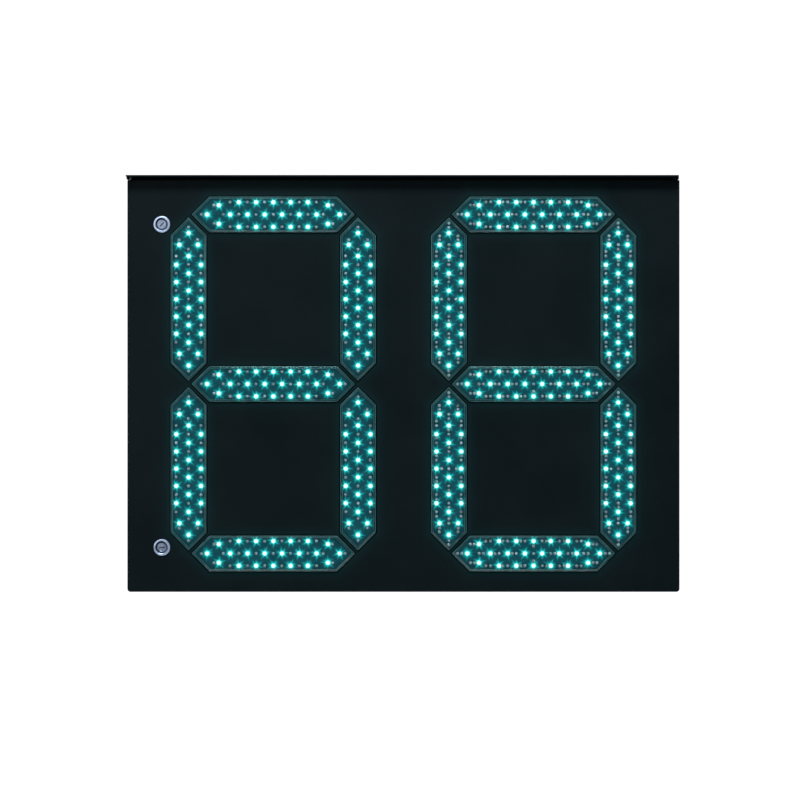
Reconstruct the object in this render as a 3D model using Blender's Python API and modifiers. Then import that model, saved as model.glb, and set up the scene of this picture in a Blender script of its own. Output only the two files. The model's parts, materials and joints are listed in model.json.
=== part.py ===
"""Two-digit LED countdown signal head, as an assembly of separate pieces.

Frame: +Z up, the lit front faces -Y. The origin is the centre of the rear mounting plane,
level with the middle of the door. Lengths below are millimetres.
"""

import math

import bmesh
import bpy
from mathutils import Matrix

MM = 0.001
GAP = 0.3  # free play left between touching pieces

# Door: a folded sheet pan
DOOR_W, DOOR_H, DOOR_DEPTH = 800.0, 597.0, 16.0
DOOR_FRONT = -122.5
DOOR_REAR = DOOR_FRONT + DOOR_DEPTH
SHEET = 1.5
DOOR_LIP = 18.0
DOOR_CORNER_R, DOOR_TOP_R, DOOR_BEND_R = 4.5, 1.7, 1.2

# Case: a folded sheet tray with an inward flange at the front
CASE_W, CASE_BOTTOM, CASE_TOP = 794.0, -296.0, 302.2
CASE_REAR, CASE_FRONT = -22.3, -102.3
CASE_OPEN_W, CASE_OPEN_H = 758.0, 556.0

# Rain hood and mounting rails
HOOD_LEFT, HOOD_RIGHT, HOOD_T, HOOD_FRONT = -401.2, 397.8, 2.0, -138.0
RAIL_LEN, RAIL_Z, RAIL_DEPTH, RAIL_T = 700.0, 190.0, 22.0, 2.0

# Digits: long hexagonal segments on a square lattice
DIGIT_X, DIGIT_Z, LATTICE = 188.5, 2.7, 245.5
SEG_L, SEG_W = 237.0, 52.0
COVER_PROUD, COVER_CHAMFER, COVER_WALL = 5.0, 3.0, 1.6
SEG_FLANGE = 2.5

# Hinge: vertical axis just inside the door's right edge
HINGE_X, HINGE_Y = 396.5, DOOR_REAR
HINGE_Z, HINGE_L = 200.0, 60.0
PIN_R, BORE_R, KNUCKLE_R = 1.5, 1.8, 3.2

# Locks
LOCK_X, LOCK_Z = -350.0, 234.0
PLUG_R, BARREL_R, RING_R, RECESS_R = 7.0, 10.0, 12.0, 8.9
CAM_LEN, CAM_W = 40.0, 12.0

# Cable entry
GLAND_X, GLAND_Z = 200.0, -100.0

FRONT = Matrix.Rotation(math.pi / 2, 4, "X")  # outline u to +X, v to +Z, w to -Y
ALONG_X = Matrix(((0, 0, 1, 0), (1, 0, 0, 0), (0, 1, 0, 0), (0, 0, 0, 1)))

for old in list(bpy.data.objects):
    bpy.data.objects.remove(old, do_unlink=True)

PARTS = bpy.data.collections.new("countdown_signal_head")
CUTTERS = bpy.data.collections.new("cutters")
for coll in (PARTS, CUTTERS):
    bpy.context.scene.collection.children.link(coll)


def material(name, colour, rough, metal, emit=0.0, alpha=1.0):
    mat = bpy.data.materials.new(name)
    mat.use_nodes = True
    shader = mat.node_tree.nodes["Principled BSDF"]
    shader.inputs["Base Color"].default_value = (*colour, 1.0)
    shader.inputs["Roughness"].default_value = rough
    shader.inputs["Metallic"].default_value = metal
    shader.inputs["Alpha"].default_value = alpha
    shader.inputs["Emission Color"].default_value = (0.0, 0.8, 0.6, 1.0)
    shader.inputs["Emission Strength"].default_value = emit
    mat.diffuse_color = (*colour, 1.0)
    return mat


BLACK = material("black_powder_coat", (0.008, 0.010, 0.011), 0.55, 0.0)
COVER = material("smoked_clear_cover", (0.02, 0.10, 0.09), 0.15, 0.0, alpha=0.5)
BOARD = material("segment_board", (0.01, 0.05, 0.045), 0.6, 0.0, emit=0.3)
CHROME = material("lock_chrome", (0.62, 0.65, 0.68), 0.25, 1.0)
ZINC = material("zinc_steel", (0.55, 0.56, 0.56), 0.4, 1.0)
SPONGE = material("black_sponge", (0.015, 0.015, 0.016), 0.9, 0.0)
GREEN_PCB = material("driver_board", (0.01, 0.13, 0.05), 0.45, 0.0)
ALLOY = material("supply_case", (0.66, 0.67, 0.68), 0.4, 1.0)
NYLON = material("black_nylon", (0.02, 0.02, 0.022), 0.5, 0.0)
BEIGE = material("terminal_plastic", (0.5, 0.5, 0.46), 0.5, 0.0)
SLEEVE = material("loom_sleeve", (0.012, 0.012, 0.013), 0.6, 0.0)


def clean(mesh, weld=True):
    """Welds a mesh and turns its faces outward."""
    bm = bmesh.new()
    bm.from_mesh(mesh)
    if weld:
        bmesh.ops.remove_doubles(bm, verts=bm.verts, dist=2e-6)
    bmesh.ops.recalc_face_normals(bm, faces=bm.faces)
    if bm.calc_volume(signed=True) < 0:
        bmesh.ops.reverse_faces(bm, faces=bm.faces)
    bm.to_mesh(mesh)
    bm.free()
    return mesh


def evaluated(ob):
    bpy.context.view_layer.update()
    graph = bpy.context.evaluated_depsgraph_get()
    return bpy.data.meshes.new_from_object(ob.evaluated_get(graph))


def place(name, mesh, matrix, coll=None):
    ob = bpy.data.objects.new(name, mesh)
    (coll or CUTTERS).objects.link(ob)
    ob.matrix_world = matrix
    return ob


def move(x=0.0, y=0.0, z=0.0):
    return Matrix.Translation((x * MM, y * MM, z * MM))


def flat(name, loops, thick, matrix):
    """A flat outline with any holes, as thick as stated, centred on its own plane."""
    curve = bpy.data.curves.new(name, "CURVE")
    curve.dimensions, curve.fill_mode = "2D", "BOTH"
    curve.extrude = thick / 2 * MM
    for loop in loops:
        spline = curve.splines.new("POLY")
        spline.points.add(len(loop) - 1)
        for point, (u, v) in zip(spline.points, loop):
            point.co = (u * MM, v * MM, 0.0, 1.0)
        spline.use_cyclic_u = True
    guide = bpy.data.objects.new(name + "_outline", curve)
    CUTTERS.objects.link(guide)
    mesh = clean(evaluated(guide))
    bpy.data.objects.remove(guide, do_unlink=True)
    return place(name, mesh, matrix)


def plate(name, loops, y0, y1, x=0.0, z=0.0):
    """A flat outline in the XZ plane between two depths."""
    return flat(name, loops, abs(y1 - y0), move(x, (y0 + y1) / 2, z) @ FRONT)


def upright(name, loops, z0, z1):
    """A flat outline in the XY plane between two heights."""
    return flat(name, loops, abs(z1 - z0), move(0, 0, (z0 + z1) / 2))


def block(name, x0, x1, y0, y1, z0, z1):
    bm = bmesh.new()
    bmesh.ops.create_cube(bm, size=1.0)
    bmesh.ops.scale(bm, vec=(abs(x1 - x0) * MM, abs(y1 - y0) * MM, abs(z1 - z0) * MM), verts=bm.verts)
    mesh = bpy.data.meshes.new(name)
    bm.to_mesh(mesh)
    bm.free()
    return place(name, mesh, move((x0 + x1) / 2, (y0 + y1) / 2, (z0 + z1) / 2))


def rod(name, r, length, matrix, sides=24, r_end=None):
    """A round or many-sided bar, centred, along its own Z."""
    bm = bmesh.new()
    bmesh.ops.create_cone(
        bm, cap_ends=True, segments=sides, radius1=r * MM,
        radius2=(r if r_end is None else r_end) * MM, depth=length * MM,
    )
    mesh = bpy.data.meshes.new(name)
    bm.to_mesh(mesh)
    bm.free()
    return place(name, mesh, matrix)


def rod_y(name, r, y0, y1, x, z, sides=24):
    return rod(name, r, abs(y1 - y0), move(x, (y0 + y1) / 2, z) @ FRONT, sides)


def rod_z(name, r, z0, z1, x, y, sides=24):
    return rod(name, r, abs(z1 - z0), move(x, y, (z0 + z1) / 2), sides)


def turned(name, profile, x, z, steps=32, closed=True):
    """A turned piece about an axis along Y: profile points are (radius, forward distance -y)."""
    mesh = bpy.data.meshes.new(name)
    points = [(r * MM, 0.0, w * MM) for r, w in profile]
    edges = [(i, i + 1) for i in range(len(points) - 1)]
    if closed:
        edges.append((len(points) - 1, 0))
    mesh.from_pydata(points, edges, [])
    guide = place(name + "_profile", mesh, Matrix.Identity(4))
    screw = guide.modifiers.new("turn", "SCREW")
    screw.axis, screw.angle = "Z", 2 * math.pi
    screw.steps = screw.render_steps = steps
    screw.use_merge_vertices, screw.merge_threshold = True, 0.000001
    done = clean(evaluated(guide))
    bpy.data.objects.remove(guide, do_unlink=True)
    return place(name, done, move(x, 0, z) @ FRONT)


def tube(name, points, r):
    """A round tube through points that are spread evenly along a smooth line."""
    curve = bpy.data.curves.new(name, "CURVE")
    curve.dimensions, curve.bevel_depth = "3D", r * MM
    curve.bevel_resolution, curve.use_fill_caps = 2, True
    spline = curve.splines.new("POLY")
    spline.points.add(len(points) - 1)
    for point, (x, y, z) in zip(spline.points, points):
        point.co = (x * MM, y * MM, z * MM, 1.0)
    guide = bpy.data.objects.new(name + "_route", curve)
    CUTTERS.objects.link(guide)
    mesh = clean(evaluated(guide))
    bpy.data.objects.remove(guide, do_unlink=True)
    return place(name, mesh, Matrix.Identity(4))


def smooth_line(knots, count):
    """Points spread along a Catmull-Rom curve through the knots."""
    ends = [[2 * a - b for a, b in zip(knots[0], knots[1])]]
    ends += [list(k) for k in knots]
    ends += [[2 * a - b for a, b in zip(knots[-1], knots[-2])]]
    fine = []
    for i in range(1, len(ends) - 2):
        p0, p1, p2, p3 = ends[i - 1:i + 3]
        for s in range(40):
            t = s / 40
            fine.append([
                0.5 * (2 * b + (c - a) * t + (2 * a - 5 * b + 4 * c - d) * t * t + (3 * b - a - 3 * c + d) * t ** 3)
                for a, b, c, d in zip(p0, p1, p2, p3)
            ])
    fine.append(list(knots[-1]))
    run = [0.0]
    for a, b in zip(fine, fine[1:]):
        run.append(run[-1] + math.dist(a, b))
    out, k = [], 0
    for i in range(count):
        want = run[-1] * i / (count - 1)
        while k < len(run) - 2 and run[k + 1] < want:
            k += 1
        t = (want - run[k]) / max(run[k + 1] - run[k], 1e-9)
        out.append(tuple(a + (b - a) * t for a, b in zip(fine[k], fine[k + 1])))
    return out


def bevel(ob, picks, width, segments=2):
    """Rounds the edges whose two ends satisfy picks(point in the piece's own frame, mm)."""
    bm = bmesh.new()
    bm.from_mesh(ob.data)
    bmesh.ops.dissolve_limit(bm, angle_limit=0.02, verts=bm.verts, edges=bm.edges)
    edges = [
        e for e in bm.edges
        if all(picks(v.co / MM) for v in e.verts) and len(e.link_faces) == 2
        and e.calc_face_angle(0) > 0.3
    ]
    bmesh.ops.bevel(bm, geom=edges, offset=width * MM, segments=segments, affect="EDGES", profile=0.5)
    bm.to_mesh(ob.data)
    bm.free()
    return ob


def combine(ob, add=(), cut=()):
    """Joins and cuts with Boolean modifiers, then keeps the result as the piece's mesh."""
    for kind, tools in (("UNION", add), ("DIFFERENCE", cut)):
        for tool in tools:
            mod = ob.modifiers.new(kind.lower(), "BOOLEAN")
            mod.operation, mod.object, mod.solver = kind, tool, "EXACT"
            tool.hide_render, tool.display_type = True, "WIRE"
    mesh = clean(evaluated(ob))
    ob.modifiers.clear()
    ob.data = mesh
    for tool in list(add) + list(cut):
        bpy.data.objects.remove(tool, do_unlink=True)
    return ob


def part(name, ob, mat, parent=None, angle=30.0):
    """Names a finished piece, gives it its material and puts it in the assembly."""
    if ob.name in CUTTERS.objects:
        CUTTERS.objects.unlink(ob)
    if ob.name not in PARTS.objects:
        PARTS.objects.link(ob)
    ob.name = name
    ob.data.name = name
    ob.data.materials.clear()
    ob.data.materials.append(mat)
    ob.data.shade_smooth()
    ob.data.set_sharp_from_angle(angle=math.radians(angle))
    if parent:
        hang(ob, parent)
    return ob


def hang(ob, parent):
    bpy.context.view_layer.update()
    ob.parent = parent
    ob.matrix_parent_inverse = parent.matrix_world.inverted()


def axis_empty(name, x, y, z, parent=None):
    empty = bpy.data.objects.new(name, None)
    PARTS.objects.link(empty)
    empty.matrix_world = move(x, y, z)
    if parent:
        hang(empty, parent)
    bpy.context.view_layer.update()
    return empty


def rect(w, h, r=0.0, u=0.0, v=0.0, n=4, upper=None):
    """A rectangle outline with rounded corners, centred at u, v; its upper corners can have their own radius."""
    if r <= 0:
        return [(u - w / 2, v - h / 2), (u + w / 2, v - h / 2), (u + w / 2, v + h / 2), (u - w / 2, v + h / 2)]
    points, lower = [], r
    for su, sv, start in ((1, -1, -90), (1, 1, 0), (-1, 1, 90), (-1, -1, 180)):
        r = upper if upper and sv > 0 else lower
        cu, cv = u + su * (w / 2 - r), v + sv * (h / 2 - r)
        for i in range(n + 1):
            a = math.radians(start + 90 * i / n)
            points.append((cu + r * math.cos(a), cv + r * math.sin(a)))
    return points


def circle(r, u=0.0, v=0.0, n=32):
    return [(u + r * math.cos(2 * math.pi * i / n), v + r * math.sin(2 * math.pi * i / n)) for i in range(n)]


def hexagon(off=0.0, u=0.0, v=0.0, upright_seg=False):
    """The segment outline, grown by off on every side."""
    tip = SEG_L / 2 + off * math.sqrt(2)
    side = SEG_W / 2 + off
    shoulder = tip - side
    points = [(tip, 0), (shoulder, side), (-shoulder, side), (-tip, 0), (-shoulder, -side), (shoulder, -side)]
    if upright_seg:
        points = [(-b, a) for a, b in points]
    return [(u + a, v + b) for a, b in points]


def segment_places():
    """Every segment: name, centre x, centre z, upright or lying."""
    half = LATTICE / 2
    for digit, cx in (("tens", -DIGIT_X), ("units", DIGIT_X)):
        for letter, dx, dz, up in (
            ("a", 0, LATTICE, False), ("b", half, half, True), ("c", half, -half, True),
            ("d", 0, -LATTICE, False), ("e", -half, -half, True), ("f", -half, half, True), ("g", 0, 0, False),
        ):
            yield digit + "_" + letter, cx + dx, DIGIT_Z + dz, up


SEGMENTS = list(segment_places())

# ------------------------------------------------------------------ fixed case
case_h = CASE_TOP - CASE_BOTTOM
case_mid = (CASE_TOP + CASE_BOTTOM) / 2
case = plate("case_outer", [rect(CASE_W, case_h, 2.5, 0, case_mid, 3)], CASE_FRONT, CASE_REAR)
half_depth = (CASE_REAR - CASE_FRONT) / 2
bevel(case, lambda p: abs(p.z - half_depth) < 0.01, 1.8, 2)
bevel(case, lambda p: abs(p.z + half_depth) < 0.01, 1.8, 2)
case = combine(case, cut=[
    plate("case_hollow", [rect(CASE_W - 2 * SHEET, case_h - 2 * SHEET, 1.0, 0, case_mid, 2)],
          CASE_FRONT + SHEET, CASE_REAR - SHEET),
    plate("case_mouth", [rect(CASE_OPEN_W, CASE_OPEN_H, 3.0, 0, 0, 3)], CASE_FRONT - 3, CASE_FRONT + 4),
    rod_y("gland_hole", 10.3, CASE_REAR - 4, CASE_REAR + 4, GLAND_X, GLAND_Z),
])
part("rear_case", case, BLACK)

hood = flat("hood_profile", [[
    (HOOD_FRONT, 302.5), (-22.0, 302.5), (-22.0, 285.0), (-20.0, 285.0), (-20.0, 303.7), (-20.8, 304.5),
    (HOOD_FRONT + 0.5, 304.5), (HOOD_FRONT, 304.0),
]], HOOD_RIGHT - HOOD_LEFT, move((HOOD_LEFT + HOOD_RIGHT) / 2) @ ALONG_X)
lips = [block("hood_lip", x0, x1, HOOD_FRONT, -103.0, DOOR_H / 2 + 0.15, 303.0)
        for x0, x1 in ((-400.0, -398.4), (HOOD_RIGHT - 1.6, HOOD_RIGHT))]
part("rain_hood", combine(hood, add=lips), BLACK)

for tag, z in (("upper", RAIL_Z), ("lower", -RAIL_Z)):
    t, d = RAIL_T, RAIL_DEPTH
    rail = flat("rail_profile", [[
        (0, z - 20), (0, z + 20), (t - d, z + 20), (t - d, z + 35), (-d, z + 35), (-d, z + 20 - t), (-t, z + 20 - t),
        (-t, z - 20 + t), (-d, z - 20 + t), (-d, z - 35), (t - d, z - 35), (t - d, z - 20),
    ]], RAIL_LEN, ALONG_X)
    slots = [plate("slot", [rect(34, 11, 5.4, 0, 0, 5)], -6, 4, x, z) for x in (-260, -60, 60, 260)]
    part("mount_rail_" + tag, combine(rail, cut=slots), BLACK)

# supply inside the case
supply = combine(block("supply_body", -170, 22, -74, CASE_REAR - SHEET - GAP, -178, -66), add=[
    block("supply_ledge", 20, 45, -40, CASE_REAR - SHEET - GAP, -178, -66),
    block("supply_terminals", 26, 40, -52, -38, -166, -78),
])
part("power_supply", supply, ALLOY)

comb = [(110, -24.1), (180, -24.1), (180, -36), (178, -36), (178, -46)]
for i in range(6):
    x = 178 - i * 11.2
    comb += [(x - 1.2, -46), (x - 1.2, -38), (x - 10.0, -38), (x - 10.0, -46)]
comb += [(110, -46)]
part("terminal_block", upright("terminal_comb", [comb], -150, -126), BEIGE)

part("earth_stud", turned("earth", [
    (0, 24.1), (6, 24.1), (6, 25.6), (3, 25.6), (3, 30), (5.5, 30), (5.5, 34.5), (3, 34.5), (3, 43.5), (2.5, 44), (0, 44),
], 250, -160, 16, closed=False), ZINC)

# cable entry through the back wall
gland = turned("gland_body", [(6, 8.5), (9, 8.5), (9, 17.0), (10, 17.0), (10, 36), (6, 36)], GLAND_X, GLAND_Z)
hex_collar = combine(rod_y("collar", 15, -17.2, -22.0, GLAND_X, GLAND_Z, 6),
                     cut=[rod_y("collar_bore", 9.5, -30, -10, GLAND_X, GLAND_Z, 32)])
part("cable_gland", combine(gland, add=[hex_collar]), NYLON)
part("gland_locknut", combine(rod_y("locknut", 15, -29.2, -24.1, GLAND_X, GLAND_Z, 6),
                              cut=[rod_y("nut_bore", 10.3, -40, -10, GLAND_X, GLAND_Z, 32)]), NYLON)
part("gland_cap", turned("cap", [
    (9.3, 16.8), (9.3, 8.2), (6.3, 8.2), (6.3, 3.0), (8.5, 3.0), (11.5, 5.0), (13, 8.5), (13, 16.8),
], GLAND_X, GLAND_Z, 32), NYLON)

# ------------------------------------------------------------------ front door
door_axis = axis_empty("door_axis", HINGE_X, HINGE_Y, 0)

door = plate("door_outer", [rect(DOOR_W, DOOR_H, DOOR_CORNER_R, 0, 0, 5, upper=DOOR_TOP_R)], DOOR_FRONT, DOOR_REAR)
bevel(door, lambda p: abs(p.z - DOOR_DEPTH / 2) < 0.01, DOOR_BEND_R, 3)
windows = plate("windows", [hexagon(GAP, x, z, up) for _, x, z, up in SEGMENTS] + [
    circle(BARREL_R + GAP, LOCK_X, z, 32) for z in (LOCK_Z, -LOCK_Z)
], DOOR_FRONT - 3, DOOR_FRONT + SHEET + 3)
notches = [block("hinge_notch", 392.3, 404, DOOR_REAR - 4.5, DOOR_REAR + 2,
                 z - HINGE_L / 2 - 3, z + HINGE_L / 2 + 4) for z in (HINGE_Z, -HINGE_Z)]
door = combine(door, cut=[
    plate("door_hollow", [rect(DOOR_W - 2 * SHEET, DOOR_H - 2 * SHEET, 3.0, 0, 0, 3)],
          DOOR_FRONT + SHEET, DOOR_REAR - SHEET),
    plate("door_mouth", [rect(DOOR_W - 2 * DOOR_LIP, DOOR_H - 2 * DOOR_LIP, 2.0, 0, 0, 2)],
          DOOR_REAR - 4, DOOR_REAR + 3),
    windows,
] + notches)
part("door_panel", door, BLACK, door_axis)

part("door_gasket", plate("seal", [rect(782, 579, 6, 0, 0, 3), rect(766, 563, 3, 0, 0, 3)],
                          DOOR_REAR + GAP, CASE_FRONT - GAP), SPONGE, door_axis)

# segment cover: a clear bevelled lens with a flange behind the door sheet
lens = plate("lens", [hexagon(0)], DOOR_FRONT - COVER_PROUD, DOOR_FRONT + SHEET + GAP + 0.5)
front_w = (COVER_PROUD + SHEET + GAP + 0.5) / 2
bevel(lens, lambda p: abs(p.z - front_w) < 0.01, COVER_CHAMFER, 1)
flange = plate("lens_flange", [hexagon(SEG_FLANGE)], DOOR_FRONT + SHEET + GAP, DOOR_FRONT + SHEET + GAP + 2.0)
hollow = plate("lens_hollow", [hexagon(-COVER_WALL)], DOOR_FRONT - COVER_PROUD + COVER_WALL,
               DOOR_FRONT + SHEET + GAP + 4.0)
bevel(hollow, lambda p: p.z > 0, COVER_CHAMFER - 0.7, 1)
lens = combine(lens, add=[flange], cut=[hollow])

# segment board: a printed board on a potted tray that closes the lens from behind
board = plate("tray_rim", [hexagon(SEG_FLANGE)], DOOR_FRONT + SHEET + GAP + 2.3, DOOR_FRONT + SHEET + GAP + 3.8)
tray = plate("tray_box", [hexagon(-3.0)], DOOR_FRONT + SHEET + GAP + 3.6, DOOR_FRONT + SHEET + GAP + 10.2)
bevel(tray, lambda p: p.z < 0, 1.2, 1)
plug_socket = plate("lead_socket", [rect(14, 8)], DOOR_FRONT + SHEET + GAP + 10.0, DOOR_FRONT + SHEET + GAP + 13.0)
board = combine(board, add=[tray, plug_socket])

for kind, model, mat in (("cover", lens, COVER), ("led_board", board, BOARD)):
    shared = None
    for name, x, z, up in SEGMENTS:
        spin = Matrix.Rotation(-math.pi / 2, 4, "Y") if up else Matrix.Identity(4)
        where = move(x, 0, z) @ spin @ model.matrix_world
        copy = place(name + "_" + kind, shared or model.data, where)
        part(name + "_" + kind, copy, mat, door_axis)
        copy.data.name = "segment_" + kind
        shared = copy.data
    bpy.data.objects.remove(model, do_unlink=True)

# driver board on stand-offs behind the units digit's lower loop
cb = plate("control_pcb", [rect(150, 110, 3, 0, 0, 2)], -112.0, -110.4, 189, -120)
extras = [rod_y("standoff", 3, DOOR_FRONT + SHEET + GAP, -111.0, 189 + sx * 69, -120 + sz * 49, 12)
          for sx in (-1, 1) for sz in (-1, 1)]
extras += [
    block("connector_row", 125, 215, -110.6, -101, -78, -70),
    block("driver_a", 140, 158, -110.6, -107.8, -112, -100),
    block("driver_b", 176, 194, -110.6, -107.8, -112, -100),
    block("driver_c", 212, 230, -110.6, -107.8, -112, -100),
    block("main_chip", 172, 192, -110.6, -108.6, -148, -128),
    block("loom_socket", 238, 252, -110.6, -100, -150, -126),
    rod_y("capacitor", 6, -98, -110.6, 140, -150, 16),
]
part("control_board", combine(cb, add=extras), GREEN_PCB, door_axis)

# ------------------------------------------------------------------ hinges
for tag, hz in (("upper", HINGE_Z), ("lower", -HINGE_Z)):
    lo, hi = hz - HINGE_L / 2, hz + HINGE_L / 2
    third = HINGE_L / 3
    bore = rod_z("pin_bore", BORE_R, lo - 3, hi + 3, HINGE_X, HINGE_Y)
    knuckles, necks = [], []
    for k0, k1 in ((lo, lo + third - GAP / 2), (hi - third + GAP / 2, hi)):
        knuckles.append(rod_z("knuckle", KNUCKLE_R, k0, k1, HINGE_X, HINGE_Y))
        necks.append(block("neck", 397.3, 398.8, -105.3, -101.0, k0, k1))
    leaf = combine(block("leaf", 397.3, 398.8, -102.9, -78.0, lo, hi), add=necks + knuckles, cut=[bore])
    part("hinge_" + tag + "_case_leaf", leaf, ZINC)

    bore = rod_z("pin_bore", BORE_R, lo - 3, hi + 3, HINGE_X, HINGE_Y)
    k0, k1 = lo + third + GAP / 2, hi - third - GAP / 2
    leaf = combine(block("leaf", 396.7, 398.2, DOOR_FRONT + SHEET + GAP, HINGE_Y - 3.6, lo, hi), add=[
        block("neck", 396.7, 398.2, HINGE_Y - 5.0, HINGE_Y - 2.2, k0, k1),
        rod_z("knuckle", KNUCKLE_R, k0, k1, HINGE_X, HINGE_Y),
    ], cut=[bore])
    part("hinge_" + tag + "_door_leaf", leaf, ZINC, door_axis)

    pin = combine(rod_z("pin", PIN_R, lo - 1.0, hi + 0.6, HINGE_X, HINGE_Y),
                  add=[rod_z("pin_head", 2.6, hi + GAP, hi + 1.8, HINGE_X, HINGE_Y)])
    part("hinge_" + tag + "_pin", pin, ZINC)

# ------------------------------------------------------------------ locks
for tag, z, slot_angle in (("upper", LOCK_Z, -45.0), ("lower", -LOCK_Z, 0.0)):
    body = turned("barrel", [
        (PLUG_R + GAP, 102.0), (BARREL_R, 102.0), (BARREL_R, 122.8), (RING_R, 122.8), (RING_R, 123.9),
        (RING_R - 0.3, 124.35), (RING_R - 0.8, 124.5), (RECESS_R + 0.5, 124.5), (RECESS_R, 124.1), (RECESS_R, 119.5),
        (PLUG_R + GAP, 119.5),
    ], LOCK_X, z, 48)
    if tag == "upper":
        body = combine(body, cut=[block("index_mark", LOCK_X - 13, LOCK_X - 8.5, -126, -123.9, z - 0.9, z + 0.9)])
    part("lock_" + tag + "_body", body, CHROME, door_axis)
    part("lock_" + tag + "_nut", combine(
        rod_y("nut", 13.8, DOOR_FRONT + SHEET + GAP, DOOR_FRONT + SHEET + GAP + 5, LOCK_X, z, 6),
        cut=[rod_y("nut_bore", BARREL_R + GAP, -130, -100, LOCK_X, z, 32)]), ZINC, door_axis)

    turn = axis_empty("lock_" + tag + "_axis", LOCK_X, -100.0, z, door_axis)
    plug = turned("plug", [
        (0, 100.7), (PLUG_R, 100.7), (PLUG_R, 123.2), (PLUG_R - 0.4, 123.6), (PLUG_R - 1.3, 123.6),
        (PLUG_R - 1.6, 123.0), (0, 123.0),
    ], LOCK_X, z, 48, closed=False)
    slot = flat("key_slot", [rect(8.6, 2.0, 0.9, 0, 0, 3)], 5.0,
                move(LOCK_X, -123.0, z) @ Matrix.Rotation(math.radians(slot_angle), 4, "Y") @ FRONT)
    plug = combine(plug, add=[block("square_end", LOCK_X - 3.2, LOCK_X + 3.2, -101.5, -97.6, z - 3.2, z + 3.2)],
                   cut=[slot, rod_y("screw_bore", 2.0, -106, -95, LOCK_X, z, 16)])
    part("lock_" + tag + "_plug", plug, CHROME, turn)

    # cam bar: hangs straight down when released, swings to the case flange when latched
    end = [(CAM_W / 2 * math.cos(math.radians(a)), -(CAM_LEN - CAM_W / 2) - CAM_W / 2 * math.sin(math.radians(a)))
           for a in range(0, 181, 30)]
    top = [(8 * math.cos(math.radians(a)), 8 * math.sin(math.radians(a))) for a in range(180, -1, -20)]
    cam = plate("cam_bar", [top + end, rect(7.0, 7.0)], -100.4, -97.9, LOCK_X, z)
    part("lock_" + tag + "_cam", cam, ZINC, turn)
    screw = turned("cam_screw", [
        (0, 92.6), (3.4, 92.8), (5.2, 94.4), (5.2, 97.3), (1.7, 97.3), (1.7, 104.5), (0, 104.5),
    ], LOCK_X, z, 16, closed=False)
    part("lock_" + tag + "_cam_screw", screw, ZINC, turn)

# ------------------------------------------------------------------ wiring
LOOM_R = 3.5
case_run = smooth_line([(46, -62, -120), (90, -66, -160), (170, -68, -200), (258, -67, -240), (316, -63, -264), (347, -61, -264), (361, -60, -248), (362, -60, -237)], 34)
loop_run = smooth_line([(362, -60, -236), (361.5, -60, -221), (350, -59, -199), (342, -65, -170), (357, -83, -138), (369, -97, -108), (368, -105, -86), (359, -106, -72), (346, -106, -70)], 30)
door_run = smooth_line([(345, -106, -70), (335, -106, -70), (315, -105, -70), (272, -104, -72), (250, -104, -84), (245, -105, -106), (245, -105, -125.4)], 24)
loom = tube("case_loom", case_run, LOOM_R)
part("case_loom", loom, SLEEVE)
part("hinge_loop", tube("hinge_loop", loop_run, LOOM_R), SLEEVE, door_axis)
part("door_loom", tube("door_loom", door_run, LOOM_R), SLEEVE, door_axis)

for left in [o for o in CUTTERS.objects]:
    bpy.data.objects.remove(left, do_unlink=True)
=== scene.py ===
"""Looks of the two-digit LED countdown signal head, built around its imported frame."""

import json
import math

import bmesh
import bpy
import numpy as np
from mathutils import Matrix, Vector


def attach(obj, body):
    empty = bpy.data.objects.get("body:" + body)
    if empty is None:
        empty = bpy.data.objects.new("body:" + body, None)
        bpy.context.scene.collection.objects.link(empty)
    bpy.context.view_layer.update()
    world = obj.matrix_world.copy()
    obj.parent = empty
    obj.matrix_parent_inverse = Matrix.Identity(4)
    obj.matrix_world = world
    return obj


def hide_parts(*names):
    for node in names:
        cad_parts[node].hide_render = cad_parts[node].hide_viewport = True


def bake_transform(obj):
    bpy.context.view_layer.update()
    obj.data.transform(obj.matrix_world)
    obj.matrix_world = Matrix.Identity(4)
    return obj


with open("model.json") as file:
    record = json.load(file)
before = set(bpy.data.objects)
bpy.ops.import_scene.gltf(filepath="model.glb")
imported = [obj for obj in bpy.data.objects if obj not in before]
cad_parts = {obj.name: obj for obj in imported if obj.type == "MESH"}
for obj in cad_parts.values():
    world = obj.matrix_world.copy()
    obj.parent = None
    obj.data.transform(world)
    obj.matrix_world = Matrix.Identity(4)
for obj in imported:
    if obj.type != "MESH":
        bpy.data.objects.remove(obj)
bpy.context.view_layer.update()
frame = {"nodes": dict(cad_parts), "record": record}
NODES = frame["nodes"]
MM = 0.001
BODY = {n: b for b, ns in frame["record"]["behaviour"]["bodies"].items() for n in ns}

# ---------------------------------------------------------------- camera
cam_data = bpy.data.cameras.new("view_camera")
cam_data.sensor_width, cam_data.lens = 36.0, 151.5
cam_data.clip_end = 60.0
cam = bpy.data.objects.new("view_camera", cam_data)
bpy.context.scene.collection.objects.link(cam)
cam.location = (-0.0050, -5.0, -0.0205)
cam.rotation_euler = (math.pi / 2, 0, 0)
bpy.context.scene.camera = cam
bpy.context.scene.view_settings.view_transform = "Standard"
bpy.context.scene.view_settings.look = "None"


# ---------------------------------------------------------------- materials
def nodes_of(name):
    mat = bpy.data.materials.new(name)
    mat.use_nodes = True
    tree = mat.node_tree
    return mat, tree, tree.nodes["Principled BSDF"]


def add(tree, kind, **values):
    node = tree.nodes.new(kind)
    for key, value in values.items():
        if key in node.inputs:
            node.inputs[key].default_value = value
        else:
            setattr(node, key, value)
    return node


def ramp(tree, source, stops):
    node = tree.nodes.new("ShaderNodeValToRGB")
    for k, (at, colour) in enumerate(stops):
        el = node.color_ramp.elements[k] if k < 2 else node.color_ramp.elements.new(at)
        el.position, el.color = at, (*colour, 1.0) if len(colour) == 3 else colour
    tree.links.new(source, node.inputs["Fac"])
    return node.outputs["Color"]


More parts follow.
